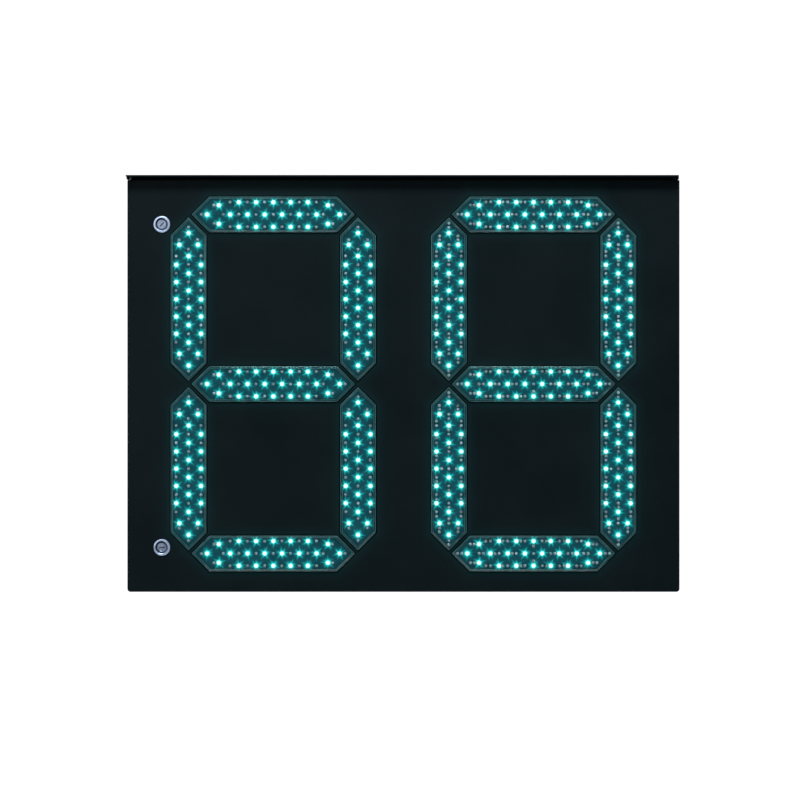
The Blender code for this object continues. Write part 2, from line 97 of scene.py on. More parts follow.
def finish(name, low, high, rough, metal=0.0, scale=120.0, bump=0.0, bump_scale=900.0, spec=0.5,
           rough_spread=0.12, stretch=(1, 1, 1), coat=0.0, coat_rough=0.1, wear=None, alpha=1.0):
    """A procedural finish: colour drifts between two tones, roughness is uneven, and a fine grain lifts the surface."""
    mat, tree, shader = nodes_of(name)
    where = tree.nodes.new("ShaderNodeTexCoord")
    mapping = add(tree, "ShaderNodeMapping", Scale=stretch)
    tree.links.new(where.outputs["Object"], mapping.inputs["Vector"])
    tone = add(tree, "ShaderNodeTexNoise", Scale=scale, Detail=5.0, Roughness=0.6)
    tree.links.new(mapping.outputs["Vector"], tone.inputs["Vector"])
    colour = ramp(tree, tone.outputs["Fac"], [(0.3, low), (0.7, high)])
    if wear:
        shade, width = wear
        geo = tree.nodes.new("ShaderNodeNewGeometry")
        edge = ramp(tree, geo.outputs["Pointiness"], [(0.5 + width, (0, 0, 0)), (0.5 + width * 2.4, (1, 1, 1))])
        mix = add(tree, "ShaderNodeMix", data_type="RGBA")
        tree.links.new(edge, mix.inputs["Factor"])
        tree.links.new(colour, mix.inputs["A"])
        mix.inputs["B"].default_value = (*shade, 1.0)
        colour = mix.outputs["Result"]
    tree.links.new(colour, shader.inputs["Base Color"])
    spread = ramp(tree, tone.outputs["Fac"], [(0.25, (rough - rough_spread / 2,) * 3), (0.75, (rough + rough_spread / 2,) * 3)])
    tree.links.new(spread, shader.inputs["Roughness"])
    if bump:
        grain = add(tree, "ShaderNodeTexNoise", Scale=bump_scale, Detail=3.0)
        tree.links.new(mapping.outputs["Vector"], grain.inputs["Vector"])
        lift = add(tree, "ShaderNodeBump", Strength=bump, Distance=0.0002)
        tree.links.new(grain.outputs["Fac"], lift.inputs["Height"])
        tree.links.new(lift.outputs["Normal"], shader.inputs["Normal"])
    shader.inputs["Metallic"].default_value = metal
    shader.inputs["Specular IOR Level"].default_value = spec
    shader.inputs["Coat Weight"].default_value = coat
    shader.inputs["Coat Roughness"].default_value = coat_rough
    shader.inputs["Alpha"].default_value = alpha
    return mat


PAINT = finish("black_powder_coat", (0.0020, 0.0053, 0.0067), (0.0032, 0.0071, 0.0088), 0.5, scale=9.0,
               bump=0.4, bump_scale=1400.0, spec=0.06, rough_spread=0.12)
COVER = finish("clear_smoked_cover", (0.56, 0.80, 0.81), (0.68, 0.88, 0.88), 0.02, scale=40.0, bump=0.02,
               bump_scale=120.0, spec=0.12, rough_spread=0.015)
COVER.node_tree.nodes["Principled BSDF"].inputs["Transmission Weight"].default_value = 1.0
COVER.node_tree.nodes["Principled BSDF"].inputs["IOR"].default_value = 1.38
TRAY = finish("black_tray", (0.010, 0.014, 0.016), (0.02, 0.026, 0.028), 0.6, scale=60.0, bump=0.2, spec=0.3)
CHROME = finish("lock_ring_chrome", (0.54, 0.68, 0.98), (0.64, 0.77, 1.0), 0.4, metal=1.0, scale=160.0, bump=0.05,
                bump_scale=900.0, rough_spread=0.1)
PLUG = finish("lock_plug_nickel", (0.34, 0.44, 0.62), (0.52, 0.62, 0.80), 0.36, metal=1.0, scale=240.0, bump=0.1,
              bump_scale=1200.0, rough_spread=0.14)
ZINC = finish("zinc_plate", (0.42, 0.43, 0.44), (0.62, 0.62, 0.60), 0.36, metal=1.0, scale=180.0, bump=0.2,
              bump_scale=1500.0, rough_spread=0.18)
BRASS = finish("brass", (0.60, 0.42, 0.16), (0.78, 0.58, 0.26), 0.32, metal=1.0, scale=220.0, bump=0.12)
SPONGE = finish("sponge_rubber", (0.012, 0.012, 0.013), (0.028, 0.028, 0.03), 0.92, scale=700.0, bump=0.9,
                bump_scale=1800.0, spec=0.2, rough_spread=0.06)
MASK = finish("green_solder_mask", (0.006, 0.085, 0.030), (0.012, 0.14, 0.05), 0.32, scale=160.0, bump=0.15,
              bump_scale=500.0, spec=0.5, coat=0.4, coat_rough=0.2)
ALLOY = finish("mill_aluminium", (0.52, 0.53, 0.54), (0.66, 0.67, 0.68), 0.4, metal=1.0, scale=60.0, bump=0.25,
               bump_scale=300.0, stretch=(1, 1, 14), rough_spread=0.16)
NYLON = finish("black_nylon", (0.014, 0.014, 0.015), (0.026, 0.026, 0.028), 0.48, scale=160.0, bump=0.2, spec=0.4)
BEIGE = finish("terminal_plastic", (0.42, 0.42, 0.37), (0.52, 0.52, 0.47), 0.5, scale=120.0, bump=0.15)
SLEEVE = finish("braided_sleeve", (0.008, 0.008, 0.009), (0.03, 0.03, 0.032), 0.7, scale=900.0, bump=1.0,
                bump_scale=1300.0, spec=0.3)


def dress(name, mat):
    ob = NODES[name]
    ob.data.materials.clear() if not ob.data.materials else None
    if len(ob.material_slots) == 0:
        ob.data.materials.append(mat)
    for slot in ob.material_slots:
        slot.material = mat


SLOT_MATS = {
    "black_powder_coat": PAINT, "clear_cover": COVER, "segment_board": TRAY, "lock_chrome": CHROME,
    "zinc_steel": ZINC, "brass_stud": BRASS, "sponge": SPONGE, "driver_board": MASK, "supply_case": ALLOY,
    "black_nylon": NYLON, "terminal_plastic": BEIGE, "loom_sleeve": SLEEVE,
}
for entry in frame["record"]["subparts"]:
    dress(entry["node"], SLOT_MATS[entry["material_slot"]])
for tag in ("upper", "lower"):
    dress("lock_" + tag + "_plug", PLUG)


# ---------------------------------------------------------------- mesh helpers
def piece(name, mesh, mat, body, matrix=None, angle=35.0):
    mesh.materials.clear()
    mesh.materials.append(mat)
    mesh.shade_smooth()
    mesh.set_sharp_from_angle(angle=math.radians(angle))
    ob = bpy.data.objects.new(name, mesh)
    bpy.context.scene.collection.objects.link(ob)
    if matrix is not None:
        ob.matrix_world = matrix
    if body:
        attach(ob, body)
    return ob


FRONT = Matrix.Rotation(math.pi / 2, 4, "X")  # own x,y,z go to X, Z, -Y: own z points out of the front


def lathe(bm, profile, sides, matrix):
    """A closed turned body: profile is (radius, height) from one end of the axis to the other."""
    rings = []
    for r, h in profile:
        if r < 1e-9:
            rings.append([bm.verts.new(matrix @ Vector((0, 0, h)))])
        else:
            rings.append([bm.verts.new(matrix @ Vector((r * math.cos(2 * math.pi * k / sides),
                                                        r * math.sin(2 * math.pi * k / sides), h)))
                          for k in range(sides)])
    for a, b in zip(rings, rings[1:]):
        for k in range(sides):
            j = (k + 1) % sides
            if len(a) == 1 and len(b) == 1:
                continue
            if len(a) == 1:
                bm.faces.new((a[0], b[j], b[k]))
            elif len(b) == 1:
                bm.faces.new((a[k], a[j], b[0]))
            else:
                bm.faces.new((a[k], a[j], b[j], b[k]))


def to_mesh(bm, name):
    bmesh.ops.recalc_face_normals(bm, faces=bm.faces)
    mesh = bpy.data.meshes.new(name)
    bm.to_mesh(mesh)
    bm.free()
    return mesh


def scaled(profile):
    return [(r * MM, h * MM) for r, h in profile]


# ---------------------------------------------------------------- segments
DIGIT_X, DIGIT_Z, LATTICE = 188.5, 2.7, 245.5
SEG_L, SEG_W = 237.0, 52.0


def segment_places():
    half = LATTICE / 2
    for digit, cx in (("tens", -DIGIT_X), ("units", DIGIT_X)):
        for letter, dx, dz, up in (
            ("a", 0, LATTICE, False), ("b", half, half, True), ("c", half, -half, True),
            ("d", 0, -LATTICE, False), ("e", -half, -half, True), ("f", -half, half, True), ("g", 0, 0, False),
        ):
            yield digit, letter, cx + dx, DIGIT_Z + dz, up


def mirrored(points):
    out = set()
    for u, v in points:
        for su in (1, -1):
            for sv in (1, -1):
                out.add((su * u + 0.0, sv * v + 0.0))
    return sorted(out)


GREEN = mirrored([(12.5, 0), (37.4, 0), (62.6, 0), (96, 0), (0, 17.9), (25, 17.9), (50, 17.9), (79, 13.5)])
RED = mirrored([(12.5, 17.9), (37.5, 17.9), (62.5, 17.9), (0, 0), (25, 0), (50, 0), (72.5, 0), (104, 0), (86, 13.5)])
YELLOW = mirrored([(0, 10.7), (18.7, 17.9), (44.5, 17.9), (69, 17.9), (31, 0), (56, 0), (79, 0), (110, 0), (91.5, 13.5)])

BOARD_Y = -118.4  # the board's front face, mm


def lamp_profile():
    """A 5 mm lamp: flange, body and a domed end."""
    points = [(0, 0), (2.85, 0), (2.85, 0.9), (2.5, 1.0), (2.5, 4.3)]
    for k in range(1, 5):
        a = math.pi / 2 * k / 5
        points.append((2.5 * math.cos(a), 4.3 + 2.5 * math.sin(a)))
    return points + [(0, 6.8)]


def lamp_mesh(name, spots, sides=14):
    bm = bmesh.new()
    for u, v in spots:
        lathe(bm, scaled(lamp_profile()), sides, Matrix.Translation((u * MM, v * MM, 0)))
    return to_mesh(bm, name)


def tip_height(tree):
    """0 at a lamp's foot, 1 at the top of its dome."""
    where = tree.nodes.new("ShaderNodeTexCoord")
    parts = tree.nodes.new("ShaderNodeSeparateXYZ")
    tree.links.new(where.outputs["Object"], parts.inputs["Vector"])
    height = add(tree, "ShaderNodeMath", operation="MULTIPLY")
    tree.links.new(parts.outputs["Z"], height.inputs[0])
    height.inputs[1].default_value = 1 / (6.8 * MM)
    return where, height.outputs["Value"]


def lit_material():
    """A lamp that is on: white-hot at the tip of its dome, green-cyan down its sides."""
    mat, tree, shader = nodes_of("lit_green_lamp")
    where, height = tip_height(tree)
    colour = ramp(tree, height, [(0.45, (0.0, 0.36, 0.30)), (0.62, (0.14, 0.74, 0.66)), (0.73, (0.97, 1.0, 1.0))])
    tree.links.new(colour, shader.inputs["Emission Color"])
    shader.inputs["Emission Strength"].default_value = 2.4
    shader.inputs["Base Color"].default_value = (0.1, 0.6, 0.45, 1)
    shader.inputs["Roughness"].default_value = 0.2
    return mat


def unlit_material(name, tint):
    """A clear lamp that is off: its domed tip is milky, its sides take the dark of the board."""
    mat, tree, shader = nodes_of(name)
    where, height = tip_height(tree)
    colour = ramp(tree, height, [(0.66, (0.010, 0.016, 0.018)), (0.82, tuple(0.5 * c for c in tint)), (0.93, tint)])
    grain = add(tree, "ShaderNodeTexNoise", Scale=500.0, Detail=2.0)
    tree.links.new(where.outputs["Object"], grain.inputs["Vector"])
    spread = ramp(tree, grain.outputs["Fac"], [(0.3, (0.24,) * 3), (0.7, (0.40,) * 3)])
    tree.links.new(spread, shader.inputs["Roughness"])
    tree.links.new(colour, shader.inputs["Base Color"])
    shader.inputs["Specular IOR Level"].default_value = 0.25
    return mat


LIT = lit_material()
UNLIT = {
    "red": unlit_material("unlit_red_lamp", (0.86, 0.70, 0.82)),
    "yellow": unlit_material("unlit_yellow_lamp", (0.86, 0.76, 0.80)),
}


def hex_inside(u, v, off):
    """How far a point is inside the segment outline grown by off, mm (negative outside)."""
    side = SEG_W / 2 + off - abs(v)
    tip = (SEG_L / 2 + off * math.sqrt(2) - abs(u) - abs(v)) / math.sqrt(2)
    return min(side, tip)


def glow_mesh(step=0.7, off=-2.2):
    """The board's lit face: a thin emitting slab with painted light; its points carry a painted pool of lamp light, a
    painted glare core, halo and starburst rays round each lit lamp, and painted shade towards the cover's rim.
    """
    nu = int((SEG_L / 2) // step) + 1
    nv = int((SEG_W / 2) // step) + 1
    tip, side = SEG_L / 2 + off * math.sqrt(2), SEG_W / 2 + off
    bm = bmesh.new()
    grid = {}
    rows = np.linspace(-side, side, 2 * nv + 1)
    cols = 2 * nu
    for r, v in enumerate(rows):
        half = tip - abs(v)
        for c in range(cols + 1):
            u = -half + 2 * half * c / cols
            grid[r, c] = bm.verts.new((u * MM, v * MM, 0.15 * MM))
    for r in range(len(rows) - 1):
        for c in range(cols):
            bm.faces.new((grid[r, c], grid[r, c + 1], grid[r + 1, c + 1], grid[r + 1, c]))
    rim = [e for e in bm.edges if e.is_boundary]
    made = bmesh.ops.extrude_edge_only(bm, edges=rim)["geom"]
    bmesh.ops.translate(bm, verts=[e for e in made if isinstance(e, bmesh.types.BMVert)], vec=(0, 0, -0.15 * MM))
    low = {e for e in made if isinstance(e, bmesh.types.BMVert)}
    bmesh.ops.contextual_create(bm, geom=[e for e in bm.edges if e.verts[0] in low and e.verts[1] in low])
    mesh = to_mesh(bm, "board_light")
    layer = mesh.color_attributes.new("lamp_light", "FLOAT_COLOR", "POINT")
    co = np.empty(len(mesh.vertices) * 3)
    mesh.vertices.foreach_get("co", co)
    co = co.reshape(-1, 3) / MM
    u, v = co[:, 0], co[:, 1]
    near = np.zeros(len(u))
    core = np.zeros(len(u))
    halo = np.zeros(len(u))
    rays = np.zeros(len(u))
    # painted light round each lit lamp: a pool of light, a white glare core, a halo and starburst rays
    for k, (lu, lv) in enumerate(GREEN):
        du, dv = u - lu, v - lv
        d = np.hypot(du, dv)
        a = np.arctan2(dv, du)
        near += np.exp(-((d / 11.0) ** 2))
        core = np.maximum(core, np.exp(-((d / 2.95) ** 4)))
        halo = np.maximum(halo, np.exp(-((d / 3.8) ** 2)))
        star = np.zeros(len(u))
        for j in range(13):
            aim = 2 * math.pi * (j + 0.3 * math.sin(3.1 * j + k)) / 13 + 0.2
            long = 9.8 + 2.2 * math.sin(2.3 * j + 1.7 * k)
            off_ray = np.abs(np.sin(a - aim)) * d
            ahead = np.cos(a - aim) > 0
            star = np.maximum(star, ahead * np.exp(-((off_ray / 0.6) ** 2)) * np.clip(1.0 - d / long, 0, 1) ** 1.05)
        rays = np.maximum(rays, star)
    inside = np.array([hex_inside(a, b, off) for a, b in zip(u, v)])
    # painted shade: the painted lamp light dims towards the cover's rim
    rim = np.clip(inside / 5.0, 0, 1) ** 0.7
    level = (0.027 + 0.038 * np.clip(near, 0, 1.4)) * (0.35 + 0.65 * rim)
    red = 0.002 + 0.9 * core
    green = level + 0.52 * halo + 1.12 * rays + 0.9 * core
    blue = level * 1.38 + 0.48 * halo + 1.03 * rays + 0.9 * core
    rgba = 1.15 * np.stack([red, green, blue, np.ones(len(u))], axis=1).astype(np.float32)
    layer.data.foreach_set("color", rgba.ravel())
    return mesh


# painted light: the slab's emission is the lamp light painted into its lamp_light colours
def glow_material():
    mat, tree, shader = nodes_of("board_lamp_light")
    light = add(tree, "ShaderNodeVertexColor", layer_name="lamp_light")
    where = tree.nodes.new("ShaderNodeTexCoord")
    grain = add(tree, "ShaderNodeTexNoise", Scale=420.0, Detail=3.0)
    tree.links.new(where.outputs["Object"], grain.inputs["Vector"])
    uneven = ramp(tree, grain.outputs["Fac"], [(0.3, (0.78, 0.78, 0.78)), (0.7, (1.2, 1.2, 1.2))])
    mix = add(tree, "ShaderNodeMix", data_type="RGBA", blend_type="MULTIPLY")
    mix.inputs["Factor"].default_value = 1.0
    tree.links.new(light.outputs["Color"], mix.inputs["A"])
    tree.links.new(uneven, mix.inputs["B"])
    tree.links.new(mix.outputs["Result"], shader.inputs["Emission Color"])
    shader.inputs["Emission Strength"].default_value = 1.0
    shader.inputs["Base Color"].default_value = (0.01, 0.02, 0.02, 1)
    shader.inputs["Roughness"].default_value = 0.55
    shader.inputs["Specular IOR Level"].default_value = 0.2
    return mat


green_mesh = lamp_mesh("green_lamps", GREEN)
red_mesh = lamp_mesh("red_lamps", RED, 12)
yellow_mesh = lamp_mesh("yellow_lamps", YELLOW, 12)
light_mesh = glow_mesh()
GLOW = glow_material()
for digit, letter, x, z, up in segment_places():
    spin = Matrix.Rotation(-math.pi / 2, 4, "Y") if up else Matrix.Identity(4)
    at = Matrix.Translation((x * MM, BOARD_Y * MM, z * MM)) @ spin @ FRONT
    tag = digit + "_" + letter
    lift = Matrix.Translation((0, 0, 0.2 * MM))
    piece(tag + "_green_lamps", green_mesh, LIT, "door", at @ lift, 60)
    piece(tag + "_red_lamps", red_mesh, UNLIT["red"], "door", at @ lift, 60)
    if digit == "units":
        piece(tag + "_yellow_lamps", yellow_mesh, UNLIT["yellow"], "door", at @ lift, 60)
    piece(tag + "_lit_face", light_mesh, GLOW, "door", at @ Matrix.Translation((0, 0, 0.03 * MM)), 30)


# ---------------------------------------------------------------- painted lamp light on the door's front face
def lit_paint():
    """The door's powder coat with painted light: the segments' soft green glow painted as emission on the paint beside
    them.
    """
    mat = PAINT.copy()
    mat.name = "door_powder_coat_painted_glow"
    tree = mat.node_tree
    shader = tree.nodes["Principled BSDF"]
    where = tree.nodes.new("ShaderNodeTexCoord")
    parts = tree.nodes.new("ShaderNodeSeparateXYZ")
    tree.links.new(where.outputs["Object"], parts.inputs["Vector"])

    def calc(kind, a, b=None):
        node = tree.nodes.new("ShaderNodeMath")
        node.operation = kind
        for k, value in enumerate((a, b)):
            if isinstance(value, (int, float)):
                node.inputs[k].default_value = value
            elif value is not None:
                tree.links.new(value, node.inputs[k])
        return node.outputs["Value"]

    def apart(a, b):
        return calc("ABSOLUTE", calc("SUBTRACT", a, b))

    def outside(along, across):
        corner = calc("MULTIPLY", calc("SUBTRACT", calc("ADD", along, across), SEG_L / 2), 0.7071)
        return calc("MAXIMUM", calc("SUBTRACT", across, SEG_W / 2), corner)

    x = apart(calc("ABSOLUTE", calc("MULTIPLY", parts.outputs["X"], 1000.0)), DIGIT_X)
    z = apart(calc("MULTIPLY", parts.outputs["Z"], 1000.0), DIGIT_Z)
    near = calc("MINIMUM", outside(x, apart(z, LATTICE)), outside(x, z))
    near = calc("MINIMUM", near, outside(apart(z, LATTICE / 2), apart(x, LATTICE / 2)))
    fall = calc("EXPONENT", calc("MULTIPLY", calc("MAXIMUM", near, 0.0), -1 / 7.0))
    face = calc("LESS_THAN", parts.outputs["Y"], -121.2 * MM)
    glow = ramp(tree, calc("MULTIPLY", fall, face), [(0.0, (0, 0, 0)), (1.0, (0.0, 0.0112, 0.0122))])
    tree.links.new(glow, shader.inputs["Emission Color"])
    shader.inputs["Emission Strength"].default_value = 1.0
    return mat


dress("door_panel", lit_paint())


# ---------------------------------------------------------------- cover edges: beads of painted highlight and a near-black bead of painted shade
COVER_EDGE_HIGHLIGHT = finish("cover_edge_painted_highlight", (0.06, 0.20, 0.22), (0.10, 0.29, 0.31), 0.35, scale=90.0, bump=0.1, spec=0.25)


def hexagon(off):
    tip, side = SEG_L / 2 + off * math.sqrt(2), SEG_W / 2 + off
    sh = tip - side
    return [(tip, 0), (sh, side), (-sh, side), (-tip, 0), (-sh, -side), (sh, -side)]


def hex_ring(bm, off, height, r, sides=8):
    """A bead of radius r along the outline grown by off, at a height over the board, mitred at its corners."""
    pts = hexagon(off)
    rings = []
    for i, (u, v) in enumerate(pts):
        pu, pv = pts[i - 1]
        nu_, nv_ = pts[(i + 1) % 6]
        a = Vector((u - pu, v - pv)).normalized()
        b = Vector((nu_ - u, nv_ - v)).normalized()
        t = (a + b).normalized()
        n = Vector((t.y, -t.x))
        k = 1.0 / max(n.dot(Vector((a.y, -a.x))), 0.3)
        rings.append([bm.verts.new(((u + n.x * k * r * math.cos(q)) * MM, (v + n.y * k * r * math.cos(q)) * MM,
                                    (height + r * math.sin(q)) * MM))
                      for q in (2 * math.pi * j / sides for j in range(sides))])
    for i in range(6):
        a, b = rings[i], rings[(i + 1) % 6]
        for j in range(sides):
            bm.faces.new((a[j], a[(j + 1) % sides], b[(j + 1) % sides], b[j]))


# painted highlight: two thin teal beads along each cover's chamfer edges, coloured to stand in for the light those
# edges catch
bm = bmesh.new()
hex_ring(bm, -0.9, 6.75, 0.34)
hex_ring(bm, -3.1, 8.90, 0.22)
highlight_edge_mesh = to_mesh(bm, "cover_edge_highlights")
# painted shade: a silicone bead round the foot of each cover, made near-black to stand in for the shadow round and
# between the raised covers
bm = bmesh.new()
hex_ring(bm, 0.75, 4.15, 0.75, 10)
shade_seal_mesh = to_mesh(bm, "cover_seal_painted_shade")
COVER_SHADE_SEAL = finish("black_silicone_painted_shade", (0.0003, 0.0007, 0.0009), (0.0007, 0.0012, 0.0015), 0.6, scale=200.0, bump=0.2, spec=0.03)
for digit, letter, x, z, up in segment_places():
    spin = Matrix.Rotation(-math.pi / 2, 4, "Y") if up else Matrix.Identity(4)
    at = Matrix.Translation((x * MM, BOARD_Y * MM, z * MM)) @ spin @ FRONT
    piece(digit + "_" + letter + "_cover_edge_highlights", highlight_edge_mesh, COVER_EDGE_HIGHLIGHT, "door", at, 60)
    piece(digit + "_" + letter + "_cover_seal_painted_shade", shade_seal_mesh, COVER_SHADE_SEAL, "door", at, 60)


# ---------------------------------------------------------------- fasteners
def out_of(axis, x, y, z):
    """A matrix whose own z points along a world axis, at a place in mm."""
    turn = {"-y": Matrix.Rotation(math.pi / 2, 4, "X"), "+y": Matrix.Rotation(-math.pi / 2, 4, "X"),
            "+x": Matrix.Rotation(math.pi / 2, 4, "Y"), "-x": Matrix.Rotation(-math.pi / 2, 4, "Y"),
            "+z": Matrix.Identity(4), "-z": Matrix.Rotation(math.pi, 4, "X")}[axis]
    return Matrix.Translation((x * MM, y * MM, z * MM)) @ turn


def hex_bolt(bm, at, flat_w=10.0, head=4.0, washer=6.5, spin=0.0):
    lathe(bm, scaled([(0, 0), (washer, 0), (washer, 1.0), (washer - 0.4, 1.3), (0, 1.3)]), 24, at)
    r = flat_w / 2 / math.cos(math.pi / 6)
    lathe(bm, scaled([(0, 1.35), (r, 1.35), (r, 1.35 + head * 0.8), (r * 0.88, 1.35 + head), (0, 1.35 + head)]), 6,
          at @ Matrix.Rotation(spin, 4, "Z"))


def stud_nut(bm, at, r=1.5, length=9.0, nut_at=4.5, flat_w=5.5, washer=5.2):
    lathe(bm, scaled([(0, 0), (r + 1.0, 0), (r, 0.8), (r, length - 0.5), (r - 0.5, length), (0, length)]), 12, at)
    q = flat_w / 2 / math.cos(math.pi / 6)
    lathe(bm, scaled([(r + 0.1, nut_at - 0.8), (washer, nut_at - 0.8), (washer, nut_at - 0.1), (r + 0.1, nut_at - 0.1),
                      (r + 0.1, nut_at - 0.8)]), 20, at)
    lathe(bm, scaled([(r + 0.1, nut_at), (q, nut_at), (q, nut_at + 2.1), (q * 0.86, nut_at + 2.5),
                      (r + 0.1, nut_at + 2.5), (r + 0.1, nut_at)]), 6, at)


def button_screw(bm, at, r=3.4, h=1.9, socket=1.4):
    lathe(bm, scaled([(0, 0), (r, 0), (r, 0.3), (r * 0.93, h * 0.55), (r * 0.7, h * 0.9), (socket + 0.4, h),
                      (socket, h), (socket, h * 0.35), (0, h * 0.35)]), 20, at)


def weld(bm):
    bmesh.ops.remove_doubles(bm, verts=bm.verts, dist=1e-7)


# module studs and nuts behind the door
for digit in ("tens", "units"):
    bm = bmesh.new()
    for d, letter, x, z, up in segment_places():
        if d != digit:
            continue
        for u in (-62, 62):
            for v in (-32.6, 32.6):
                du, dv = (v, u) if up else (u, v)
                stud_nut(bm, out_of("+y", x + du, -120.7, z + dv))
    weld(bm)
    piece(digit + "_module_studs", to_mesh(bm, "studs"), ZINC, "door")

# rail bolts, hood screws and hinge screws
for tag, z0 in (("upper", 190), ("lower", -190)):
    bm = bmesh.new()
    for k, x in enumerate((-320, -160, 0, 160, 320)):
        for dz in (-27.5, 27.5):
            hex_bolt(bm, out_of("+y", x, -19.95, z0 + dz), spin=0.35 * k + dz)
    piece("rail_" + tag + "_bolts", to_mesh(bm, "bolts"), ZINC, "case")
bm = bmesh.new()
for k in range(7):
    button_screw(bm, out_of("+y", -360 + 120 * k, -19.95, 293.5), 4.6, 2.4, 1.7)
piece("hood_screws", to_mesh(bm, "screws"), ZINC, "case")
for tag, z0 in (("upper", 200), ("lower", -200)):
    bm = bmesh.new()
    for dz in (-21, 0, 21):
        button_screw(bm, out_of("+x", 398.75, -86.5, z0 + dz), 3.6, 1.2, 1.4)
    piece("hinge_" + tag + "_screws", to_mesh(bm, "screws"), ZINC, "case")

# ---------------------------------------------------------------- locks: a dark recess lining, a black seal and a black rubber washer, all painted shade, and a keyway shadow
RUBBER_SHADE = finish("black_rubber_painted_shade", (0.002, 0.004, 0.008), (0.005, 0.008, 0.014), 0.6, scale=300.0, bump=0.2, spec=0.1)
# painted shade: a darker metal for the lining of each lock's recess, standing in for the shade inside it
RECESS_SHADE = finish("lock_recess_painted_shade", (0.22, 0.28, 0.42), (0.30, 0.37, 0.52), 0.5, metal=0.7, scale=260.0, bump=0.15,
                bump_scale=900.0)
KEYWAY = finish("keyway_shadow", (0.05, 0.06, 0.10), (0.09, 0.10, 0.15), 0.5, metal=0.6, scale=300.0, bump=0.2)
for tag, z0, turn in (("upper", 234.0, 45.0), ("lower", -234.0, 0.0)):
    bm = bmesh.new()
    rings = []
    for r, ex, y in ((7.08, 0, -119.6), (8.85, 0, -119.6), (8.85, 0, -124.1), (8.5, 0, -124.3), (7.6, 0, -123.0),
                     (7.08, 0, -122.6)):
        rings.append([bm.verts.new(((-350 - ex + r * math.cos(q)) * MM, y * MM, (z0 + ex + r * math.sin(q)) * MM))
                      for q in (2 * math.pi * i / 48 for i in range(48))])
    for a, b in zip(rings, rings[1:] + rings[:1]):
        for i in range(48):
            bm.faces.new((a[i], a[(i + 1) % 48], b[(i + 1) % 48], b[i]))
    piece("lock_" + tag + "_recess", to_mesh(bm, "recess"), RECESS_SHADE, "door")
    # painted shade: a black rubber seal in the recess, thicker towards the upper left, standing in for the crescent of
    # shadow there
    bm = bmesh.new()
    rings = []
    for r, ex, y in ((7.15, 0, -122.4), (8.3, 0.72, -122.4), (8.35, 0.74, -124.72), (7.9, 0.45, -124.8), (7.15, 0, -124.3)):
        rings.append([bm.verts.new(((-350 - ex + r * math.cos(q)) * MM, y * MM, (z0 + ex + r * math.sin(q)) * MM))
                      for q in (2 * math.pi * i / 48 for i in range(48))])
    for a, b in zip(rings, rings[1:] + rings[:1]):
        for i in range(48):
            bm.faces.new((a[i], a[(i + 1) % 48], b[(i + 1) % 48], b[i]))
    piece("lock_" + tag + "_seal", to_mesh(bm, "seal"), RUBBER_SHADE, "door")
    # painted shade: a black rubber washer just outside each lock ring, standing in for the ring's dark outline of
    # shadow
    bm = bmesh.new()
    lathe(bm, scaled([(12.1, 0), (13.1, 0), (13.1, 0.35), (12.8, 0.55), (12.1, 0.55), (12.1, 0)]), 56,
          out_of("-y", -350, -122.52, z0))
    weld(bm)
    piece("lock_" + tag + "_washer", to_mesh(bm, "washer"), RUBBER_SHADE, "door")

# faint spot-weld dimples along the door's edge, where its stiffeners are welded on
bm = bmesh.new()
for x, z in [(sx * 390, zz) for sx in (-1, 1) for zz in (209, 10, -188.5)] + [(xx, 291) for xx in (-324, -112, 100, 312)]:
    lathe(bm, scaled([(0, -0.3), (2.3, -0.3), (2.3, 0.02), (1.7, 0.14), (0.8, 0.06), (0, 0.05)]), 20,
          out_of("-y", x, -122.5, z))
piece("door_spot_welds", to_mesh(bm, "welds"), PAINT, "door")


# ---------------------------------------------------------------- inside: boards, blocks and leads
def plain(name, colour, rough, metal=0.0, **more):
    low = tuple(c * 0.8 for c in colour)
    high = tuple(min(c * 1.15, 1.0) for c in colour)
    return finish(name, low, high, rough, metal=metal, scale=200.0, bump=0.12, bump_scale=700.0, **more)


CHIP = plain("chip_epoxy", (0.018, 0.018, 0.02), 0.5)
WHITE_PLASTIC = plain("white_connector", (0.72, 0.70, 0.64), 0.45)
RED_WIRE = plain("red_wire", (0.42, 0.02, 0.015), 0.4)
BLACK_WIRE = plain("black_wire", (0.012, 0.012, 0.013), 0.42)
EARTH_WIRE = plain("earth_wire", (0.16, 0.42, 0.04), 0.42)
CAN = plain("capacitor_can", (0.02, 0.03, 0.09), 0.35)
TIN = plain("tinned_metal", (0.72, 0.72, 0.70), 0.3, 1.0)
RESIST = plain("resistor_body", (0.30, 0.36, 0.42), 0.4)
TIE = plain("cable_tie", (0.035, 0.035, 0.038), 0.42)


def soft_box(bm, lo, hi, r=0.5):
    """A box with rounded edges, corners in mm."""
    made = bmesh.ops.create_cube(bm, size=1.0)
    verts = made["verts"]
    size = [(b - a) * MM for a, b in zip(lo, hi)]
    bmesh.ops.scale(bm, vec=size, verts=verts)
    bmesh.ops.translate(bm, vec=[(a + b) / 2 * MM for a, b in zip(lo, hi)], verts=verts)
    edges = list({e for v in verts for e in v.link_edges})
    bmesh.ops.bevel(bm, geom=edges, offset=r * MM, segments=2, affect="EDGES", profile=0.5)


def catmull(knots, per=8):
    pts = [Vector(k) for k in knots]
    ext = [pts[0] * 2 - pts[1]] + pts + [pts[-1] * 2 - pts[-2]]
    out = []
    for i in range(1, len(ext) - 2):
        p0, p1, p2, p3 = ext[i - 1:i + 3]
        for s_ in range(per):
            t = s_ / per
            out.append(0.5 * (2 * p1 + (p2 - p0) * t + (2 * p0 - 5 * p1 + 4 * p2 - p3) * t * t
                              + (3 * p1 - p0 - 3 * p2 + p3) * t ** 3))
    out.append(pts[-1])
    return out


